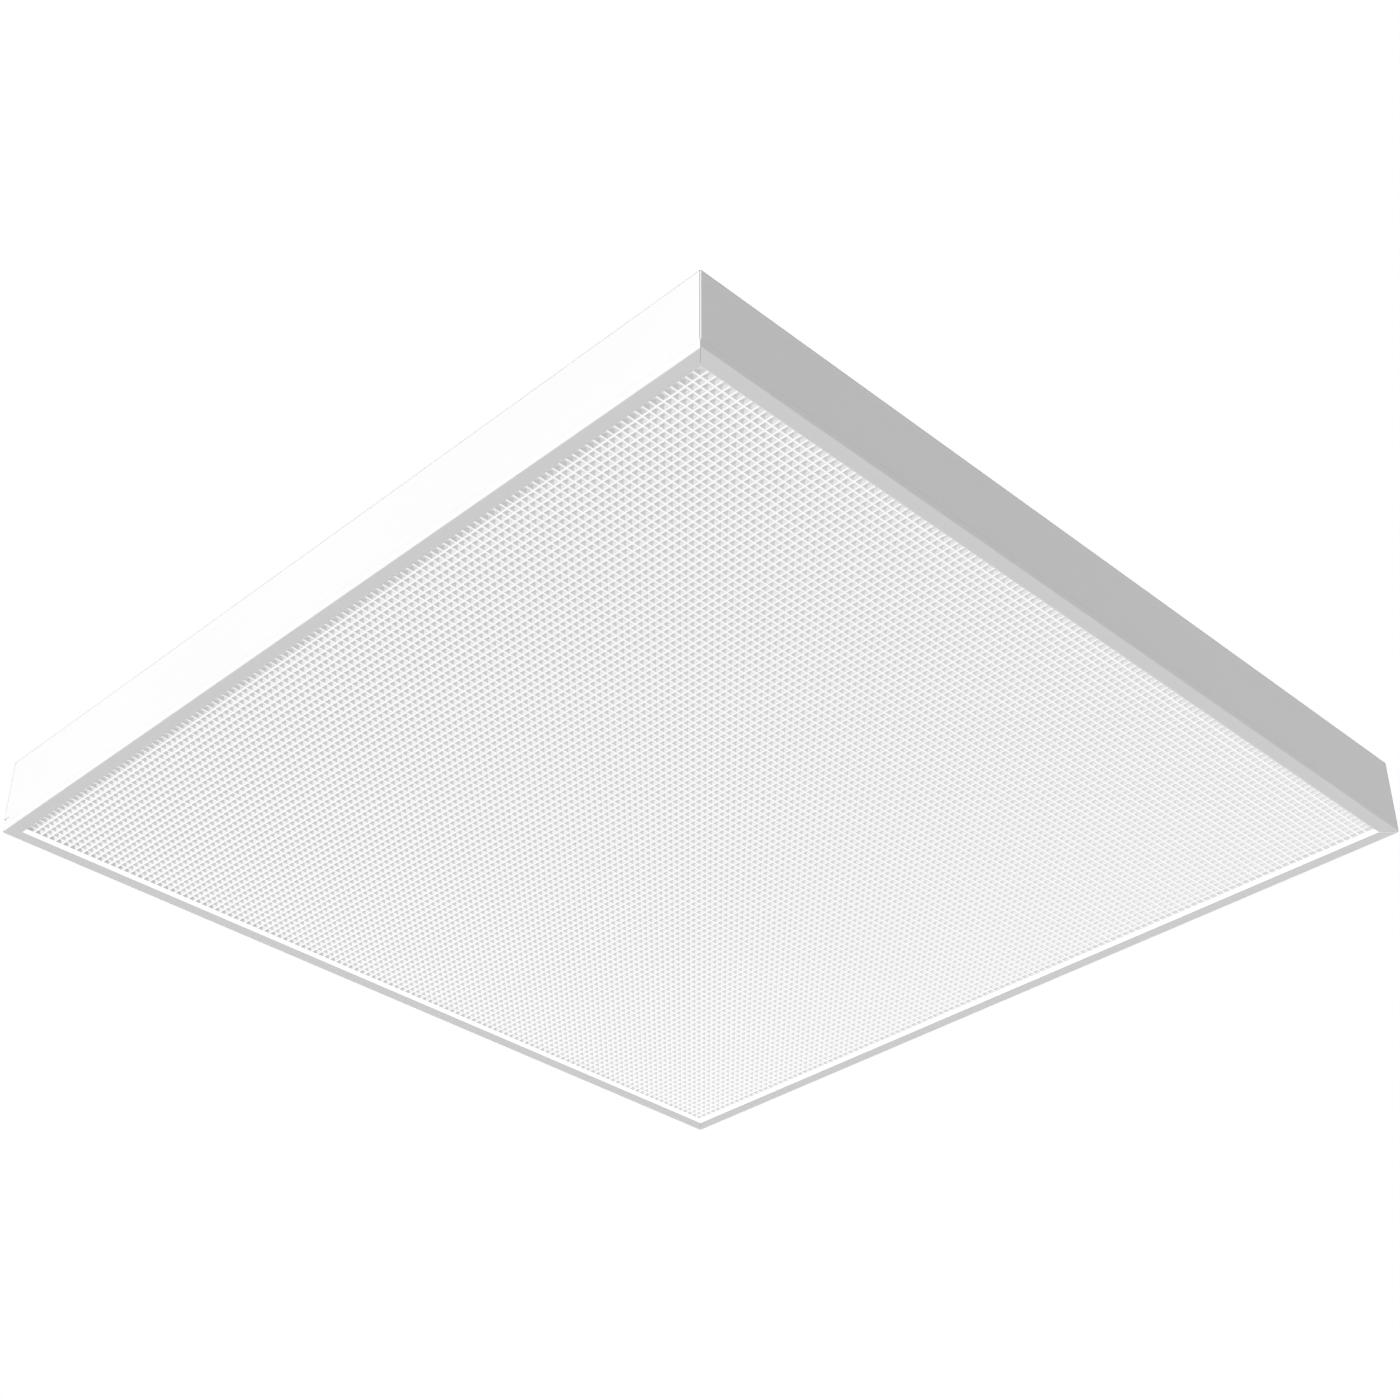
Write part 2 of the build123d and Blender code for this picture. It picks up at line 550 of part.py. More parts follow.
# ---- wiring ----
def wiring():
    right = DRIVER_X + DRIVER_LENGTH / 2 - 4
    block_face = TERMINAL_X - TERMINAL_SIZE[0] / 2
    line = [(right, 5, 40), (right + 14, 5, 40), (right + 32, 8, 41.5),
            (block_face - 14, 10, WIRE_ENTRY_Z), (block_face + 5, 10, WIRE_ENTRY_Z)]
    neutral = [(right, -5, 40), (right + 14, -5, 40), (right + 32, -3, 41.4),
               (block_face - 14, 0, WIRE_ENTRY_Z), (block_face + 5, 0, WIRE_ENTRY_Z)]
    lug_end = (EARTH_STUD[0] + LUG_BARREL[1], EARTH_STUD[1], CEILING - LUG_BARREL[2])
    earth = [lug_end, (lug_end[0] + 9, lug_end[1], lug_end[2]), (lug_end[0] + 18, -20.5, 45.5),
             (block_face - 10, -10, WIRE_ENTRY_Z), (block_face + 5, -10, WIRE_ENTRY_Z)]

    left = DRIVER_X - DRIVER_LENGTH / 2 + 4
    entry_z = BOARD_FACE - CONNECTOR_SIZE[2] / 2
    inner_edge = BOARD_Y[2] - BOARD_WIDTH / 2
    far_lead = [(left, 4, 41), (left - 7, 4, 41), (left - 18, 5, 45.2), (left - 30, 7, 47.8),
                (-222, 12, 48.1), (-246, 22, 48.0), (-259, 36, 47.0), (-264, 49, entry_z),
                (-264, inner_edge, entry_z)]
    near_lead = [(left, 8, 41), (left - 7, 8, 41), (left - 18, 8.5, 45.2), (left - 30, 10.5, 47.8),
                 (-220, 16.5, 48.1), (-242, 26, 48.0), (-255, 37, 47.0), (-260, 49, entry_z),
                 (-260, inner_edge, entry_z)]
    start, stop = BOARD_Y[2] + BOARD_WIDTH / 2, BOARD_Y[3] - BOARD_WIDTH / 2
    jumpers = [
        [(x, start, entry_z), (x, start + 9, entry_z), (x - 1.2, start + 24, 47.4),
         (x - 2.0, (start + stop) / 2, 48.1), (x - 1.2, stop - 24, 47.4),
         (x, stop - 9, entry_z), (x, stop, entry_z)]
        for x in (CONNECTOR_X - CONNECTOR_POLE, CONNECTOR_X + CONNECTOR_POLE)
    ]
    leads = [wire(far_lead, LED_WIRE), wire(near_lead, LED_WIRE)]
    links = [wire(points, LED_WIRE) for points in jumpers]
    return {
        "supply_lead_line": wire(line, SUPPLY_WIRE),
        "supply_lead_neutral": wire(neutral, SUPPLY_WIRE),
        "earth_lead": wire(earth, SUPPLY_WIRE),
        "led_leads": group(leads + [mirror(lead, about=Plane.XZ) for lead in leads]),
        "led_board_jumpers": group(links + [mirror(link, about=Plane.XZ) for link in links]),
    }


# ---- gear cover over the driver and the mains wiring ----
def gear_cover():
    flange_z = CEILING - SHEET / 2
    floor_z = COVER_BOTTOM + SHEET / 2
    wide = COVER_HALF_TOP + COVER_FLANGE
    line = [(wide, flange_z), (COVER_HALF_TOP, flange_z), (COVER_HALF_BOTTOM, floor_z),
            (-COVER_HALF_BOTTOM, floor_z), (-COVER_HALF_TOP, flange_z), (-wide, flange_z)]
    cover = strip(line, COVER_FOLD, SHEET, COVER_X)
    end = Polygon((-COVER_HALF_TOP, CEILING), (-COVER_HALF_BOTTOM, floor_z),
                  (COVER_HALF_BOTTOM, floor_z), (COVER_HALF_TOP, CEILING), align=None)
    for x in (COVER_X[0], COVER_X[1] - SHEET):
        cover += Pos(x, 0, 0) * extrude(Plane.YZ * end, SHEET)
    for slot in COVER_WIRE_SLOTS:
        cover -= block((COVER_X[0] - 1, COVER_X[0] + 1), slot, (COVER_SLOT_BOTTOM, CEILING + 1))
    for x, y in COVER_SCREWS:
        cover -= post(x, y, (CEILING - 2, CEILING + 1), SCREW_PASSAGE)
    spots = COVER_SCREWS + [(x, 0.0) for x in driver_screw_x()]
    screws = group(screw(x, y, CEILING - SHEET) for x, y in spots)
    return {"gear_cover": cover, "gear_screws": screws}


# ---- cable grommet ----
def grommet():
    flange, thickness = GROMMET_FLANGE
    low, high = CEILING - thickness, HEIGHT + thickness
    ring = post(GROMMET_X, 0, (low, CEILING), flange) + post(GROMMET_X, 0, (HEIGHT, high), flange)
    ring += post(GROMMET_X, 0, (low, high), GROMMET_HOLE - GROMMET_PLAY)
    ring -= post(GROMMET_X, 0, (low - 1, high + 1), GROMMET_BORE)
    return {"cable_grommet": ring}


# ---- hinges ----
def hinge_rivet(x, leaf_face):
    """Rivet through the tray's back wall and a fixed leaf, sunk flush outside."""
    head_radius, head_depth = RIVET_HEAD
    tail_radius, tail_depth = RIVET_TAIL
    rivet = bar_y(x, (leaf_face - tail_depth, WALL), RIVET_Z, RIVET_RADIUS)
    rivet += bar_y(x, (WALL - head_depth, WALL), RIVET_Z, head_radius)
    return rivet + bar_y(x, (leaf_face - tail_depth, leaf_face), RIVET_Z, tail_radius)


def hinges():
    parts = {}
    rivets = []
    pins = []
    half = HINGE_LENGTH / 2
    bore = PIN_RADIUS + PIN_CLEARANCE
    leaf_face = WALL_INNER - SHEET
    leaf_bottom, leaf_top = HINGE_LEAF_Z
    end_length, end_radius = PIN_END
    for side, x in zip(("left", "right"), HINGE_X):
        ends = ((x - half, x - KNUCKLE_SPLIT), (x + KNUCKLE_SPLIT, x + half))
        fixed = block((x - half, x + half), (leaf_face, WALL_INNER), (leaf_bottom, leaf_top))
        for span in ends:
            fixed += block(span, (leaf_face, WALL_INNER), (HINGE_AXIS_Z, leaf_bottom))
            fixed += bar_x(span, HINGE_Y, HINGE_AXIS_Z, KNUCKLE_RADIUS)
        fixed -= bar_x((x - half - 1, x + half + 1), HINGE_Y, HINGE_AXIS_Z, bore)
        for rivet_x in (x - RIVET_X, x + RIVET_X):
            fixed -= bar_y(rivet_x, (leaf_face - 1, HALF), RIVET_Z, RIVET_RADIUS + HOLE_PLAY)
            rivets.append(hinge_rivet(rivet_x, leaf_face))
        middle = (x - KNUCKLE_SPLIT + KNUCKLE_GAP, x + KNUCKLE_SPLIT - KNUCKLE_GAP)
        strap = (HINGE_Y - SHEET / 2, HINGE_Y + SHEET / 2)
        moving = bar_x(middle, HINGE_Y, HINGE_AXIS_Z, KNUCKLE_RADIUS)
        moving += block(middle, strap, (FLOOR_TOP, HINGE_AXIS_Z))
        moving += block(middle, (HALF - HINGE_FOOT, strap[1]), (FLOOR_TOP, FLOOR_TOP + SHEET))
        moving -= bar_x((x - half, x + half), HINGE_Y, HINGE_AXIS_Z, bore)
        tips = (x - half - end_length, x + half + end_length)
        pin = bar_x(tips, HINGE_Y, HINGE_AXIS_Z, PIN_RADIUS)
        for end in ((tips[0], x - half), (x + half, tips[1])):
            pin += bar_x(end, HINGE_Y, HINGE_AXIS_Z, end_radius)
        parts[f"hinge_leaf_fixed_{side}"] = fixed
        parts[f"hinge_leaf_moving_{side}"] = moving
        pins.append(pin)
    parts["hinge_pins"] = group(pins)
    parts["hinge_rivets"] = group(rivets)
    return parts


# ---- catches: a leaf spring on the tray's front wall, a keeper on the front rail ----
def catches():
    parts = {}
    half = CATCH_WIDTH / 2
    flat = WALL_INSET + SHEET + CATCH_SHEET / 2
    foot_z = FLOOR_TOP + SHEET / 2
    spring_line = at_front(zip((flat, flat, *CATCH_NOSE), CATCH_HEIGHTS))
    keeper_line = at_front([(KEEPER_FOOT, foot_z), (KEEPER_STEM, foot_z),
                            *zip((KEEPER_STEM, KEEPER_NOSE, KEEPER_STEM), KEEPER_HEIGHTS)])
    for side, x in zip(("left", "right"), CATCH_X):
        span = (x - half, x + half)
        parts[f"catch_spring_{side}"] = strip(spring_line, CATCH_FOLD, CATCH_SHEET, span)
        inset_span = (x - half + 1, x + half - 1)
        parts[f"catch_keeper_{side}"] = strip(keeper_line, KEEPER_FOLD, SHEET, inset_span)
    return parts


# ---- frame rails, mitred ----
def frame_rails():
    """Each rail with its skirt's height and the mitre gaps at its two ends."""
    rails = (("frame_rail_front", SKIRT_HEIGHT, MITRE_GAP, OPEN_MITRE_GAP),
             ("frame_rail_right", SKIRT_HEIGHT, OPEN_MITRE_GAP, MITRE_GAP),
             ("frame_rail_back", HINGE_SKIRT_HEIGHT, MITRE_GAP, MITRE_GAP),
             ("frame_rail_left", SKIRT_HEIGHT, MITRE_GAP, MITRE_GAP))
    mid = SHEET / 2
    parts = {}
    for quarter, (name, skirt, first_gap, second_gap) in enumerate(rails):
        line = at_front([(mid, skirt), (mid, mid), (RAIL_WIDTH - mid, mid),
                         (RAIL_WIDTH - mid, LEDGE_TOP - mid), (LEDGE_TIP, LEDGE_TOP - mid)])
        rail = strip(line, RAIL_FOLD, SHEET, (-HALF, HALF))
        low = HALF - first_gap / math.sqrt(2)
        high = HALF - second_gap / math.sqrt(2)
        mitre = Polygon((-low, -HALF), (high, -HALF), (high - MITRE_DEPTH, MITRE_DEPTH - HALF),
                        (MITRE_DEPTH - low, MITRE_DEPTH - HALF), align=None)
        rail = rail & (Pos(0, 0, -1) * extrude(mitre, MITRE_DEPTH))
        parts[name] = turned(rail, quarter)
    return parts


def corner_keys():
    outer, inner = (inset - HALF for inset in KEY_INSET)
    reach = KEY_REACH - HALF
    z = (FLOOR_TOP, FLOOR_TOP + KEY_THICKNESS)
    key = block((outer, reach), (outer, inner), z) + block((outer, inner), (outer, reach), z)
    return {"corner_keys": group(turned(key, quarter) for quarter in range(4))}


# ---- lens and its clips ----
def lens():
    plate = block((-LENS_SIDE / 2, LENS_SIDE / 2), (-LENS_SIDE / 2, LENS_SIDE / 2),
                  (LEDGE_TOP, LEDGE_TOP + LENS_THICKNESS))
    half = LENS_CLIP_WIDTH / 2
    under = LEDGE_TOP - SHEET - LENS_CLIP_SHEET / 2
    over = LEDGE_TOP + LENS_THICKNESS + LENS_CLIP_SHEET / 2
    web = LEDGE_TIP - LENS_CLIP_SHEET
    low_end, high_end = LENS_CLIP_FEET
    line = at_front([(low_end, under), (web, under), (web, over), (high_end, over)])
    clips = []
    for quarter, places in LENS_CLIP_PLACES.items():
        for x in places:
            clip = strip(line, LENS_CLIP_SHEET, LENS_CLIP_SHEET, (x - half, x + half))
            clips.append(turned(clip, quarter))
    return {"prismatic_lens": plate, "lens_clips": group(clips)}


# ---- grid clips on top, swinging out over the ceiling tees ----
def grid_clips():
    low = HEIGHT + CLIP_LIFT
    high = low + CLIP_THICKNESS
    half = CLIP_WIDTH / 2
    clip = block((0, CLIP_REACH), (-half, half), (low, high)) + post(0, 0, (low, high), half)
    clip += block((CLIP_REACH - CLIP_THICKNESS, CLIP_REACH), (-half, half), (low, high + CLIP_LIP))
    clip -= post(0, 0, (low - 1, high + 1), CLIP_PIVOT_RADIUS + CLIP_PLAY)
    collar_radius, collar = PIVOT_COLLAR
    head_radius, head, head_play = PIVOT_HEAD
    tail_radius, tail = PIVOT_TAIL
    head_z = high + head_play
    rivet = post(0, 0, (CEILING - tail, head_z), CLIP_PIVOT_RADIUS)
    rivet += post(0, 0, (HEIGHT, HEIGHT + collar), collar_radius)
    rivet += post(0, 0, (head_z, head_z + head), head_radius)
    rivet += post(0, 0, (CEILING - tail, CEILING), tail_radius)
    parts = {}
    rivets = []
    for depth, y in (("front", -CLIP_PIVOT_Y), ("back", CLIP_PIVOT_Y)):
        for side, x, turn in (("left", -CLIP_PIVOT_X, 0), ("right", CLIP_PIVOT_X, 180)):
            parts[f"grid_clip_{depth}_{side}"] = Pos(x, y, 0) * Rot(0, 0, turn) * clip
            rivets.append(Pos(x, y, 0) * rivet)
    parts["grid_clip_rivets"] = group(rivets)
    return parts


def build():
    parts = {}
    for make in (housing_tray, led_boards, led_connectors, driver, terminal_block, earth_point,
                 wiring, gear_cover, grommet, hinges, catches, frame_rails, corner_keys, lens,
                 grid_clips):
        parts.update(make())
    return parts


os.makedirs("parts", exist_ok=True)
for node, shape in build().items():
    export_step(shape, f"parts/{node}.step")
print(len(os.listdir("parts")), "files in parts/")
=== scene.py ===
import json
import math

import bpy
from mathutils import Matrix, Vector


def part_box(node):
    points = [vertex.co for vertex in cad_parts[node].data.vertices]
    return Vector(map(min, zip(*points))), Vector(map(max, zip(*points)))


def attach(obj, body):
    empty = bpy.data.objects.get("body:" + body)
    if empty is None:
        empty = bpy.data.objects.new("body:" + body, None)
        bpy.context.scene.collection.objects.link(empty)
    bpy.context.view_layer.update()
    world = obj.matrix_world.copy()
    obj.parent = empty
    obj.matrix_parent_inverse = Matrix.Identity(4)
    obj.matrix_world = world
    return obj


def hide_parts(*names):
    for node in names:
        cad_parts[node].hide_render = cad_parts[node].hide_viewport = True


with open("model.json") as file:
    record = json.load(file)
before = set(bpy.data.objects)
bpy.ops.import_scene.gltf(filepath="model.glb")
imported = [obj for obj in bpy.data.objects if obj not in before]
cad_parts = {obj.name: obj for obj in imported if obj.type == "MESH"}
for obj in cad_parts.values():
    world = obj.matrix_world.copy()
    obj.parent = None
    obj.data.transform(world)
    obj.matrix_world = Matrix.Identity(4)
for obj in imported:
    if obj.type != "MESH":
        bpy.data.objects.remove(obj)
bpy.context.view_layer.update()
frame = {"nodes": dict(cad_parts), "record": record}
NODES = frame["nodes"]
MM = 0.001

# ---- camera of the photograph, metres and degrees ----
CAMERA_PLACE = (-0.86728, -0.86692, -0.7616)
CAMERA_TURN = (125.0, 0.0, -45.0)
CAMERA_LENS = 61.587
CAMERA_SENSOR = 36.0
CAMERA_CLIP = (0.01, 50.0)  # metres

# ---- light; a FROM is the direction that a sun shines from ----
WHITE = (1.0, 1.0, 1.0)
AMBIENT = 0.40  # world strength for every ray but those of the camera, gloss and glass
KEY_SUN = 2.33
KEY_SUN_FROM = (-0.930, -0.112, -0.351)
KEY_SUN_ANGLE = 6.0  # degrees across
TOP_SUN = 1.12
TOP_SUN_FROM = (0.35, 0.45, 0.82)
TOP_SUN_ANGLE = 10.0
FLOOR_Z = -2.4
FLOOR_SIDE = 14.0
FLOOR_TONES = (0.56, 0.58)
FLOOR_PATCHES = 3.0  # features for each metre
FLOOR_SEEN = 0.50  # added where the camera sees the floor, so that it reads pale

# ---- lens, metres ----
CELLS = 118
CELL = 4.862 * MM
HALF_FIELD = CELLS * CELL / 2
RIDGE = 0.8 * MM
OPEN_RUN = 1.5 * MM  # the cells beside the left and front rails run on under them
FIELD_SHIFT = (0.17 * MM, 0.32 * MM)  # of the ribbed field, towards +X and +Y
FACET_SLOPE = 39.3  # degrees from the lens plane

# ---- tray: painted shade on the fold along its top and on its upright corners, painted shadow in the seam beside each corner ----
FOLD_Z = 49.1 * MM
# painted shade: share of the enamel's colour on the tray's folds and upright corners
FOLD_SHADE = 0.50
CORNER_PLACE = 296.5 * MM  # where the tray's upright folds begin, from the middle
CORNER_FROM = -100.0 * MM  # X plus Y, so that the corner with the bright strip has none
SEAM_PLACE = 297.05 * MM  # of the seam's floor, out from the middle
SEAM_REACH = 0.06 * MM
SEAM_Z = 6.0 * MM
# painted shadow: share of the enamel's colour in the seam's floor
SEAM_SHADE = 0.10
FOLD_FACING = (-0.05, 0.95)  # upward part of a fold's normal, from wall to top

# ---- frame lip: painted glow on the bend of its inner lip ----
LIP_START = 288.75 * MM  # distance from the middle where the lip's bend begins
LIP_GLOW = 0.5  # painted glow on the lips that face the key light
LIP_SHADE_GLOW = 0.25  # the same on the two lips that face away from it
LIP_LIT = (0.10, 0.50)  # how far a lip faces the key light where its glow starts, and is full

# ---- painted light and shade on the lens: glow level in the middle, rise for each metre towards +X and towards +Y ----
FRONT_GLOW = (0.48, 0.22, 0.03)  # facets that face -Y
LEFT_GLOW = (0.59, 0.08, 0.26)  # facets that face -X
FAR_GLOW = (0.50, 0.0, 0.0)  # facets that face +X or +Y
# painted light: the flat ridges glow white
RIDGE_GLOW = 0.825
END_CELL_SHADE = 0.08  # painted shade: the last cells before the right and back rails glow this much less
LENS_BASE = 0.25  # tone of the acrylic, kept low so that the painted glow gives most of its brightness
RIDGE_FACE, FACET, BACK = 0, 1, 2  # order of the lens's materials

# ---- LED boards and driver, metres ----
BOARD_PITCH = 140.0 * MM
BOARD_LINE = 70.0 * MM  # Y of one board's middle
LED_PITCH = 20.0 * MM
LED_LINE = 10.0 * MM  # X of one LED
PHOSPHOR_RADIUS = 1.15 * MM
COPPER_GAP = 0.6 * MM  # half the gap between two copper areas, under each LED
COPPER_REACH = 10.0 * MM
COPPER_RISE = 0.03 * MM
PHOSPHOR_DIP = 0.05 * MM
WINDING_MIDDLE_X = -47.0 * MM
WINDING_HALF = (9.1 * MM, 8.6 * MM)  # half the tape's length and width
CHOKE_X = 40.0 * MM
CHOKE_TURNS = 36.0
CHOKE_TURN_DEPTH = 0.2 * MM

# ---- skins: noise features for each metre, bump strength and depth, roughness below and above ----
ORANGE_PEEL = (1400.0, 0.06, 0.04 * MM, 0.04, 0.08)
ROLLED_GRAIN = (420.0, 0.12, 0.03 * MM, 0.08, 0.14)
ROLLED_STRETCH = (1.0, 1.0, 14.0)
SPARK_SKIN = (2200.0, 0.08, 0.03 * MM, 0.05, 0.08)
SLEEVE_SKIN = (2400.0, 0.08, 0.03 * MM, 0.06, 0.06)
TAPE_GRAIN = (1500.0, 0.10, 0.04 * MM, 0.08, 0.14)
ACRYLIC_WAVE = (260.0, 0.05, 0.04 * MM)  # bump only

# ---- glosses: noise features for each metre, roughness below and above ----
MASK_GLOSS = (1200.0, 0.04, 0.06)
GEL_GLOSS = (5200.0, 0.04, 0.06)
CIRCUIT_GLOSS = (900.0, 0.06, 0.06)
TURNS_GLOSS = (1800.0, 0.06, 0.08)
ACRYLIC_GLOSS = (900.0, 0.04, 0.04)

# ---- broad patches: features for each metre, share of the colour in the darkest and palest ----
PATCH_SPREAD = (0.3, 0.7)  # part of the noise that the two shares lie between
COAT_PATCHES = (9.0, 0.992, 1.004)
METAL_PATCHES = (70.0, 0.86, 1.08)
PLASTIC_PATCHES = (60.0, 0.94, 1.03)
ACRYLIC_PATCHES = (14.0, 0.98, 1.0)

# ---- the part of a normal along one axis that tells a piece's sides apart ----
BOARD_EDGE_FACING = 0.5
LED_FACE_FACING = -0.9
CAN_END_FACING = 0.9
CAN_STRIPE_FACING = 0.88
WIRE_STRIPE_FACING = 0.6
FACET_FACING = -0.4

# ---- colours of the pieces ----
ENAMEL = (0.90, 0.90, 0.90)
DRIVER_PAINT = (0.86, 0.86, 0.85)
ZINC = (0.66, 0.67, 0.69)
SPRING_STEEL = (0.55, 0.56, 0.58)
ALUMINIUM = (0.72, 0.73, 0.74)
MASK_OVER_COPPER = (0.88, 0.88, 0.87)
MASK_OVER_GAP = (0.80, 0.80, 0.78)
LED_CASE = (0.86, 0.86, 0.84)
PHOSPHOR = ((0.90, 0.70, 0.14), (0.95, 0.80, 0.26))
CIRCUIT_MASK = ((0.02, 0.17, 0.07), (0.03, 0.22, 0.09))
CIRCUIT_TRACK = (0.08, 0.36, 0.16)
CIRCUIT_GRID = (150.0, 0.05)  # scale of the tracks and their width, as a share of it
SLEEVE = (0.03, 0.03, 0.035)
SLEEVE_STRIPE = (0.50, 0.51, 0.52)
CAN_END = (0.74, 0.75, 0.76)
FERRITE = (0.06, 0.06, 0.065)
TAPE = ((0.72, 0.50, 0.08), (0.80, 0.58, 0.12))
# painted shade and highlight: the darker copper fills the grooves between turns, the paler their
# crowns
COPPER_TURNS = ((0.34, 0.13, 0.04), (0.72, 0.32, 0.12))
EARTH_GREEN = (0.05, 0.32, 0.07)
EARTH_YELLOW = (0.82, 0.66, 0.05)
PLASTICS = {  # colour and roughness by slot
    "clear_film": ((0.70, 0.60, 0.35), 0.25),
    "rubber_black": ((0.03, 0.03, 0.03), 0.65),
    "white_plastic": ((0.85, 0.85, 0.83), 0.45),
    "button_orange": ((0.85, 0.25, 0.03), 0.40),
    "wire_brown": ((0.16, 0.06, 0.03), 0.45),
    "wire_blue": ((0.03, 0.14, 0.50), 0.45),
    "wire_white": ((0.85, 0.85, 0.85), 0.45),
}


# ---- node helpers ----
class Shader:
    """Builds one node material around a Principled shader."""

    def __init__(self, name, roughness, metallic=0.0):
        self.roughness = roughness
        self.material = bpy.data.materials.new(name)
        self.material.use_nodes = True
        self.tree = self.material.node_tree
        self.shader = self.tree.nodes["Principled BSDF"]
        self.shader.inputs["Metallic"].default_value = metallic
        self.shader.inputs["Roughness"].default_value = roughness
        self.coords = self.tree.nodes.new("ShaderNodeTexCoord")

    def node(self, kind, **settings):
        made = self.tree.nodes.new(kind)
        for name, value in settings.items():
            setattr(made, name, value)
        return made

    def link(self, source, target):
        self.tree.links.new(source, target)

    def math(self, operation, *values):
        made = self.node("ShaderNodeMath", operation=operation)
        for index, value in enumerate(values):
            if isinstance(value, (int, float)):
                made.inputs[index].default_value = value
            else:
                self.link(value, made.inputs[index])
        return made.outputs[0]

    def axes(self, output):
        """X, Y and Z of the place or the normal in the piece's own frame."""
        made = self.node("ShaderNodeSeparateXYZ")
        self.link(self.coords.outputs[output], made.inputs[0])
        return made.outputs

    def off_line(self, value, pitch, line):
        """Distance to the nearest of the lines at the given pitch, one of them at line."""
        turns = self.math("DIVIDE", self.math("SUBTRACT", value, line), pitch)
        share = self.math("SUBTRACT", turns, self.math("ROUND", turns))
        return self.math("MULTIPLY", self.math("ABSOLUTE", share), pitch)

    def noise(self, scale, detail=3.0, stretch=None):
        """Noise over the piece's own metres; scale is in features per metre."""
        place = self.coords.outputs["Object"]
        if stretch:
            mapping = self.node("ShaderNodeMapping")
            mapping.inputs["Scale"].default_value = stretch
            self.link(place, mapping.inputs["Vector"])
            place = mapping.outputs["Vector"]
        made = self.node("ShaderNodeTexNoise")
        made.inputs["Scale"].default_value = scale
        made.inputs["Detail"].default_value = detail
        self.link(place, made.inputs["Vector"])
        return made.outputs["Fac"]

    def ramp(self, factor, low, high, start=0.0, stop=1.0):
        """Map a factor, which goes from start to stop, to the numbers from low to high."""
        made = self.node("ShaderNodeMapRange")
        made.inputs["From Min"].default_value = start
        made.inputs["From Max"].default_value = stop
        made.inputs["To Min"].default_value = low
        made.inputs["To Max"].default_value = high
        self.link(factor, made.inputs["Value"])
        return made.outputs["Result"]

    def blend(self, factor, first, second):
        """Mix two colours or colour sockets."""
        made = self.node("ShaderNodeMix", data_type="RGBA")
        self.link(factor, made.inputs["Factor"])
        for socket, value in ((made.inputs[6], first), (made.inputs[7], second)):
            if isinstance(value, tuple):
                socket.default_value = (*value, 1.0)
            else:
                self.link(value, socket)
        return made.outputs[2]

    def color(self, source):
        self.link(source, self.shader.inputs["Base Color"])

    def metal(self, source):
        self.link(source, self.shader.inputs["Metallic"])

    def glow(self, strength):
        """White light of the piece's own, one strength all over or a socket."""
        self.shader.inputs["Emission Color"].default_value = (*WHITE, 1.0)
        target = self.shader.inputs["Emission Strength"]
        if isinstance(strength, float):
            target.default_value = strength
        else:
            self.link(strength, target)

    def bump(self, height, strength, distance):
        made = self.node("ShaderNodeBump")
        made.inputs["Strength"].default_value = strength
        made.inputs["Distance"].default_value = distance
        self.link(height, made.inputs["Height"])
        self.link(made.outputs["Normal"], self.shader.inputs["Normal"])

    def gloss(self, kind, detail=2.0, stretch=None):
        """Roughness that changes a little from spot to spot."""
        scale, below, above = kind
        grain = self.noise(scale, detail, stretch)
        rough = self.ramp(grain, self.roughness - below, self.roughness + above)
        self.link(rough, self.shader.inputs["Roughness"])
        return grain

    def skin(self, kind, detail=2.0, stretch=None):
        """Fine grain in the roughness and in the height of the surface."""
        scale, strength, depth, below, above = kind
        grain = self.gloss((scale, below, above), detail, stretch)
        self.bump(grain, strength, depth)
        return grain

    def patches(self, color, kind, detail=3.0):
        """A colour that drifts a little between a darker and a paler tone."""
        scale, dark, pale = kind
        drift = self.ramp(self.noise(scale, detail), 0.0, 1.0, *PATCH_SPREAD)
        return self.blend(drift, near(color, dark), near(color, pale))


def near(color, share):
    return tuple(part * share for part in color)


# ---- materials ----
def painted_fold_and_seam_shade(s, coat):
    """Painted shade: the coat is painted darker on the tray's top fold and upright corners, and
    painted dark as shadow in the seams beside its corners.
    """
    place, up = s.axes("Object"), s.axes("Normal")["Z"]
    wall_facing, top_facing = FOLD_FACING
    bend = s.math("MULTIPLY", s.math("GREATER_THAN", up, wall_facing),
                  s.math("LESS_THAN", up, top_facing))
    fold = s.math("MULTIPLY", bend, s.math("GREATER_THAN", place["Z"], FOLD_Z))
    sides = [s.math("ABSOLUTE", place[axis]) for axis in "XY"]
    wall = s.math("GREATER_THAN", place["Z"], SEAM_Z)
    corner = s.math("MULTIPLY", s.math("GREATER_THAN", s.math("MINIMUM", *sides), CORNER_PLACE),
                    s.math("GREATER_THAN", s.math("ADD", place["X"], place["Y"]), CORNER_FROM))
    # painted shade on the top fold and the upright corners
    edge = s.math("MAXIMUM", fold, s.math("MULTIPLY", corner, wall))
    out = s.math("MAXIMUM", *sides)
    # painted shadow in the seam's floor
    seam_shadow = s.math("MULTIPLY", s.math("COMPARE", out, SEAM_PLACE, SEAM_REACH), wall)
    return s.blend(seam_shadow, s.blend(edge, coat, near(ENAMEL, FOLD_SHADE)), near(ENAMEL, SEAM_SHADE))


def powder_coat(name, color=ENAMEL, painted_shade=False):
    """Satin white powder coat: fine orange peel, faint change of tone, and painted shade on the tray's
    folds and seams when asked.
    """
    s = Shader(name, 0.42)
    coat = s.patches(color, COAT_PATCHES, 4.0)
    s.color(painted_fold_and_seam_shade(s, coat) if painted_shade else coat)
    s.skin(ORANGE_PEEL)
    return s


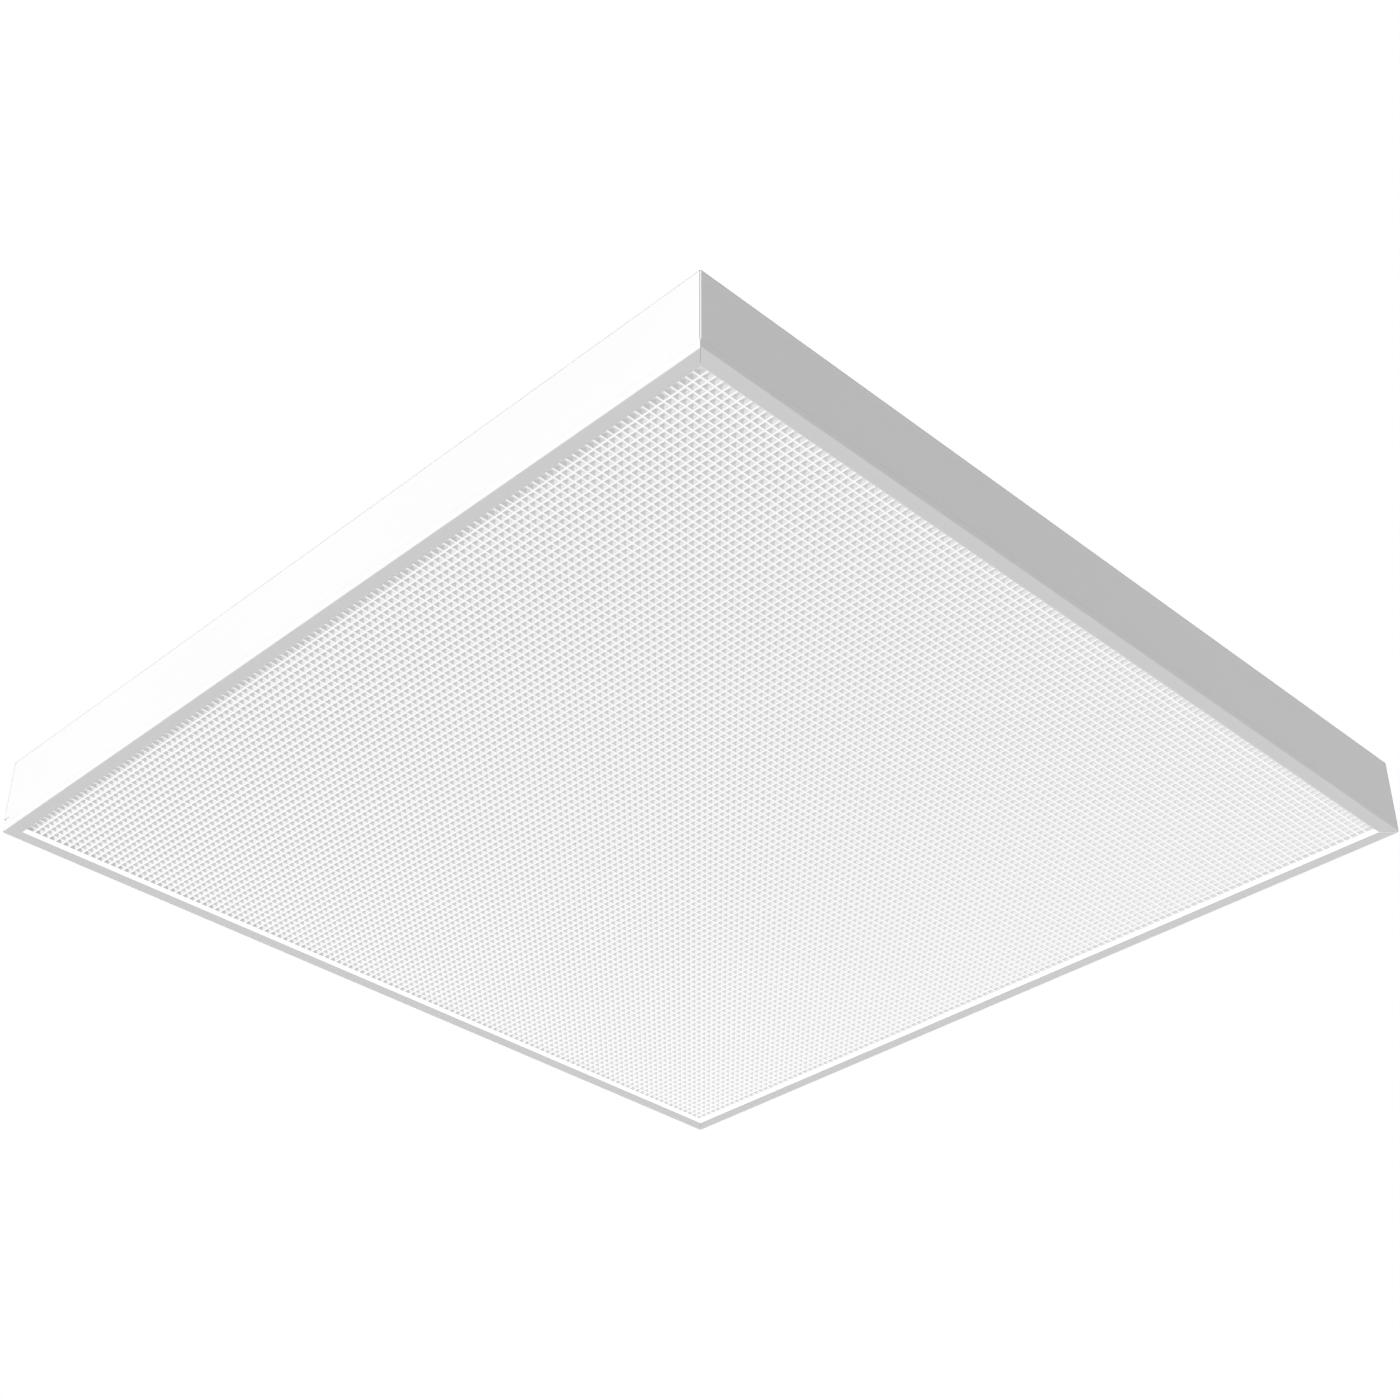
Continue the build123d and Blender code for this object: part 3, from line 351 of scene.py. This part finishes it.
def painted_lip_glow(s):
    """Painted light: the bend of the frame's inner lip glows, more on the two lips that face the key
    light.
    """
    place, facing = s.axes("Object"), s.axes("Normal")
    out = s.math("MAXIMUM", s.math("ABSOLUTE", place["X"]), s.math("ABSOLUTE", place["Y"]))
    inside = s.math("LESS_THAN", out, LIP_START)
    shaded = s.math("MAXIMUM", facing["X"], facing["Y"])
    lit = s.math("MULTIPLY", s.math("MINIMUM", facing["X"], facing["Y"]), -1.0)
    level = s.math("ADD", s.ramp(lit, 0.0, LIP_GLOW, *LIP_LIT), s.ramp(shaded, 0.0, LIP_SHADE_GLOW))
    s.glow(s.math("MULTIPLY", inside, level))
    return s


def plated(name, color, roughness=0.32):
    """Plated or polished sheet steel with a fine rolled grain."""
    s = Shader(name, roughness, 1.0)
    s.color(s.patches(color, METAL_PATCHES))
    s.skin(ROLLED_GRAIN, 4.0, ROLLED_STRETCH)
    return s


def plastic(name, color, roughness):
    """Moulded plastic with a fine spark-eroded skin."""
    s = Shader(name, roughness)
    s.color(s.patches(color, PLASTIC_PATCHES))
    s.skin(SPARK_SKIN)
    return s


def led_lines(s):
    """Distances to the middle line of the nearest LED board, and to its nearest LED along it."""
    place = s.axes("Object")
    return (s.off_line(place["Y"], BOARD_PITCH, BOARD_LINE),
            s.off_line(place["X"], LED_PITCH, LED_LINE))


def led_board():
    """White solder mask, copper areas showing faintly through it, bare aluminium edges."""
    s = Shader("board_white", 0.34)
    across, along = led_lines(s)
    copper = s.math("MULTIPLY", s.math("GREATER_THAN", along, COPPER_GAP),
                    s.math("LESS_THAN", across, COPPER_REACH))
    edge = s.math("LESS_THAN", s.math("ABSOLUTE", s.axes("Normal")["Z"]), BOARD_EDGE_FACING)
    s.color(s.blend(edge, s.blend(copper, MASK_OVER_GAP, MASK_OVER_COPPER), ALUMINIUM))
    s.metal(edge)
    s.gloss(MASK_GLOSS)
    s.bump(copper, 0.5, COPPER_RISE)
    return s


def led_package():
    """Yellow phosphor disc in a white package."""
    s = Shader("led_phosphor", 0.38)
    across, along = led_lines(s)
    off = s.math("SQRT", s.math("ADD", s.math("MULTIPLY", across, across),
                                s.math("MULTIPLY", along, along)))
    disc = s.math("MULTIPLY", s.math("LESS_THAN", off, PHOSPHOR_RADIUS),
                  s.math("LESS_THAN", s.axes("Normal")["Z"], LED_FACE_FACING))
    grain = s.gloss(GEL_GLOSS)
    s.color(s.blend(disc, LED_CASE, s.blend(grain, *PHOSPHOR)))
    s.bump(disc, -0.4, PHOSPHOR_DIP)
    return s


def circuit_board():
    """Green solder mask with tracks."""
    s = Shader("circuit_green", 0.30)
    tracks = s.node("ShaderNodeTexBrick")
    s.link(s.coords.outputs["Object"], tracks.inputs["Vector"])
    tracks.inputs["Scale"].default_value, tracks.inputs["Mortar Size"].default_value = CIRCUIT_GRID
    for socket, tone in zip(("Color1", "Color2", "Mortar"), (*CIRCUIT_MASK, CIRCUIT_TRACK)):
        tracks.inputs[socket].default_value = (*tone, 1.0)
    s.color(tracks.outputs["Color"])
    s.gloss(CIRCUIT_GLOSS)
    s.bump(tracks.outputs["Fac"], 0.4, COPPER_RISE)
    return s


def capacitor_can():
    """Black sleeve with a pale stripe, bare aluminium ends."""
    s = Shader("black_plastic", 0.34)
    facing = s.axes("Normal")
    end = s.math("GREATER_THAN", s.math("ABSOLUTE", facing["Z"]), CAN_END_FACING)
    stripe = s.math("GREATER_THAN", facing["X"], CAN_STRIPE_FACING)
    s.color(s.blend(end, s.blend(stripe, SLEEVE, SLEEVE_STRIPE), CAN_END))
    s.metal(end)
    s.skin(SLEEVE_SKIN)
    return s


def transformer():
    """Dark ferrite core round a coil former wrapped in yellow tape."""
    s = Shader("tape_and_ferrite", 0.42)
    place = s.axes("Object")
    half_x, half_y = WINDING_HALF
    off_x = s.math("ABSOLUTE", s.math("SUBTRACT", place["X"], WINDING_MIDDLE_X))
    core = s.math("MAXIMUM", s.math("GREATER_THAN", off_x, half_x),
                  s.math("GREATER_THAN", s.math("ABSOLUTE", place["Y"]), half_y))
    grain = s.skin(TAPE_GRAIN, 3.0)
    s.color(s.blend(core, s.blend(grain, *TAPE), FERRITE))
    return s


def choke_coil():
    """Enamelled copper turns side by side, painted darker in the grooves between turns and paler on
    their crowns: painted shade and highlight.
    """
    s = Shader("copper_turns", 0.30, 1.0)
    place = s.axes("Object")
    turn = s.math("ARCTAN2", place["Y"], s.math("SUBTRACT", place["X"], CHOKE_X))
    wave = s.math("SINE", s.math("MULTIPLY", turn, CHOKE_TURNS))
    s.color(s.blend(s.ramp(wave, 0.0, 1.0, -1.0, 1.0), *COPPER_TURNS))
    s.gloss(TURNS_GLOSS)
    s.bump(wave, 0.5, CHOKE_TURN_DEPTH)
    return s


def earth_wire():
    """Green insulation with a yellow stripe along each side."""
    s = Shader("wire_green_yellow", 0.45)
    stripe = s.math("LESS_THAN", s.math("ABSOLUTE", s.axes("Normal")["Z"]), WIRE_STRIPE_FACING)
    s.color(s.blend(stripe, EARTH_GREEN, EARTH_YELLOW))
    s.skin(SPARK_SKIN)
    return s


def lens_skin(name, glow):
    """Milky acrylic given a painted glow."""
    s = Shader(name, 0.30)
    s.color(s.patches((LENS_BASE,) * 3, ACRYLIC_PATCHES))
    s.gloss(ACRYLIC_GLOSS)
    scale, strength, depth = ACRYLIC_WAVE
    s.bump(s.noise(scale, 2.0), strength, depth)
    s.glow(glow)
    return s


def lens_facets():
    """The same acrylic in the recesses, with painted light and shade: each facet glows by the way it
    faces the key light, those facing -X or -Y brighter towards +X and +Y, and less in the last cells
    before the right and back rails.
    """
    s = lens_skin("lens_facet", FAR_GLOW[0])
    place, facing = s.axes("Object"), s.axes("Normal")

    def level(glow):
        middle, rise_x, rise_y = glow
        return s.math("ADD", s.math("MULTIPLY_ADD", place["X"], rise_x, middle),
                      s.math("MULTIPLY", place["Y"], rise_y))

    glow = level(FAR_GLOW)
    for axis, choice in (("X", LEFT_GLOW), ("Y", FRONT_GLOW)):
        chosen = s.math("LESS_THAN", facing[axis], FACET_FACING)
        step = s.math("MULTIPLY", chosen, s.math("SUBTRACT", level(choice), glow))
        glow = s.math("ADD", glow, step)
    past_x, past_y = (s.math("SUBTRACT", place[axis], HALF_FIELD - CELL + shift)
                      for axis, shift in zip("XY", FIELD_SHIFT))
    end_cell = s.math("GREATER_THAN", s.math("MAXIMUM", past_x, past_y), 0.0)
    s.glow(s.math("SUBTRACT", glow, s.math("MULTIPLY", end_cell, END_CELL_SHADE)))
    return s


def assign(shader, *names):
    for name in names:
        data = NODES[name].data
        data.materials.clear()
        data.materials.append(shader.material)


def place_object(name, data):
    piece = bpy.data.objects.new(name, data)
    bpy.context.scene.collection.objects.link(piece)
    return piece


# ---- lens with its recessed square pyramids ----
def field_lines(edge, shift):
    """Where ridges and recesses meet along one side, from one edge of the lens to the other."""
    lines = [-edge]
    for cell in range(CELLS):
        start = cell * CELL - HALF_FIELD + shift
        lines += [start + RIDGE / 2, start + CELL - RIDGE / 2]
    lines.append(edge)
    lines[1] -= OPEN_RUN
    return lines


def prism_lens(ridge, facet, back):
    low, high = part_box("prismatic_lens")
    under, top, edge = low[2], high[2], high[0]
    half = (CELL - RIDGE) / 2
    depth = half * math.tan(math.radians(FACET_SLOPE))
    columns, rows = (field_lines(edge, shift) for shift in FIELD_SHIFT)
    count = len(rows)
    points = [(x, y, under) for y in rows for x in columns]
    faces, kinds = [], []
    for row in range(count - 1):
        for column in range(count - 1):
            corner = row * count + column
            corners = (corner, corner + count, corner + count + 1, corner + 1)
            if row % 2 and column % 2:  # a recess, and a stretch of ridge otherwise
                apex = len(points)
                points.append((columns[column + 1] - half, rows[row + 1] - half, under + depth))
                following = corners[1:] + corners[:1]
                faces += [(first, second, apex) for first, second in zip(corners, following)]
                kinds += [FACET] * 4
            else:
                faces.append(corners)
                kinds.append(RIDGE_FACE)
    upper = len(points)
    points += [(-edge, -edge, top), (edge, -edge, top), (edge, edge, top), (-edge, edge, top)]
    faces.append((upper, upper + 1, upper + 2, upper + 3))
    last = count - 1
    # each edge of the lens is one face, over the points along that side taken in turn
    sides = (range(count), range(last, count * count, count),
             range(count * count - 1, count * last - 1, -1), range(count * last, -1, -count))
    for index, side in enumerate(sides):
        faces.append((*side, upper + (index + 1) % 4, upper + index))
    kinds += [BACK] * 5
    mesh = bpy.data.meshes.new("lens_prisms")
    mesh.from_pydata(points, [], faces)
    for shader in (ridge, facet, back):
        mesh.materials.append(shader.material)
    mesh.polygons.foreach_set("material_index", kinds)
    mesh.update()
    piece = place_object("lens_prisms", mesh)
    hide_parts("prismatic_lens")
    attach(piece, "lens_frame")


# ---- finishes of every piece ----
def dress():
    by_slot = {
        "zinc_plate": plated("zinc_plate", ZINC),
        "spring_steel": plated("spring_steel", SPRING_STEEL, 0.24),
        "board_white": led_board(),
        "led_phosphor": led_package(),
        "driver_metal": powder_coat("driver_metal", DRIVER_PAINT),
        "circuit_green": circuit_board(),
        "copper_winding": transformer(),
        "black_plastic": capacitor_can(),
        "wire_green_yellow": earth_wire(),
    }
    for slot, (color, roughness) in PLASTICS.items():
        by_slot[slot] = plastic(slot, color, roughness)
    for entry in frame["record"]["subparts"]:
        if entry["material_slot"] in by_slot:
            assign(by_slot[entry["material_slot"]], entry["node"])
    assign(choke_coil(), "driver_choke")
    assign(powder_coat("white_enamel"), "gear_cover")
    # painted shade on the tray's folds and painted shadow in its seams
    assign(powder_coat("white_enamel_tray_painted_shade", painted_shade=True), "housing_tray")
    # painted glow on the bend of the rails' inner lips
    assign(painted_lip_glow(powder_coat("white_enamel_rail_painted_glow")),
           "frame_rail_front", "frame_rail_right", "frame_rail_back", "frame_rail_left")
    # painted light: the lens's ridges, facets and back are given a glow
    prism_lens(lens_skin("lens_ridge", RIDGE_GLOW), lens_facets(), lens_skin("lens_back", FAR_GLOW[0]))


# ---- stage ----
def world_light():
    world = bpy.data.worlds.new("studio")
    world.use_nodes = True
    bpy.context.scene.world = world
    tree = world.node_tree
    shader = tree.nodes["Background"]
    shader.inputs["Color"].default_value = (*WHITE, 1.0)
    rays = tree.nodes.new("ShaderNodeLightPath")
    seen = rays.outputs["Is Camera Ray"]
    for name in ("Is Glossy Ray", "Is Transmission Ray"):
        either = tree.nodes.new("ShaderNodeMath")
        either.operation = "MAXIMUM"
        tree.links.new(seen, either.inputs[0])
        tree.links.new(rays.outputs[name], either.inputs[1])
        seen = either.outputs[0]
    level = tree.nodes.new("ShaderNodeMapRange")
    level.inputs["To Min"].default_value = AMBIENT
    level.inputs["To Max"].default_value = 1.0
    tree.links.new(seen, level.inputs["Value"])
    tree.links.new(level.outputs["Result"], shader.inputs["Strength"])


def sun(name, strength, source, angle):
    lamp = bpy.data.lights.new(name, "SUN")
    lamp.energy = strength
    lamp.angle = math.radians(angle)
    holder = place_object(name, lamp)
    holder.rotation_euler = (-Vector(source)).to_track_quat("-Z", "Y").to_euler()


def floor():
    half = FLOOR_SIDE / 2
    mesh = bpy.data.meshes.new("floor")
    mesh.from_pydata([(-half, -half, FLOOR_Z), (half, -half, FLOOR_Z), (half, half, FLOOR_Z),
                      (-half, half, FLOOR_Z)], [], [(0, 1, 2, 3)])
    s = Shader("floor_paint", 0.8)
    dark, pale = ((tone,) * 3 for tone in FLOOR_TONES)
    s.color(s.blend(s.noise(FLOOR_PATCHES), dark, pale))
    rays = s.node("ShaderNodeLightPath")
    s.glow(s.math("MULTIPLY", rays.outputs["Is Camera Ray"], FLOOR_SEEN))
    mesh.materials.append(s.material)
    piece = place_object("floor", mesh)
    piece.visible_shadow = False


def camera():
    data = bpy.data.cameras.new("photo_camera")
    data.lens = CAMERA_LENS
    data.sensor_width = CAMERA_SENSOR
    data.clip_start, data.clip_end = CAMERA_CLIP
    holder = place_object("photo_camera", data)
    holder.location = CAMERA_PLACE
    holder.rotation_euler = [math.radians(angle) for angle in CAMERA_TURN]
    bpy.context.scene.camera = holder


bpy.context.scene.view_settings.view_transform = "Standard"
dress()
world_light()
sun("key_sun", KEY_SUN, KEY_SUN_FROM, KEY_SUN_ANGLE)
sun("top_sun", TOP_SUN, TOP_SUN_FROM, TOP_SUN_ANGLE)
floor()
camera()
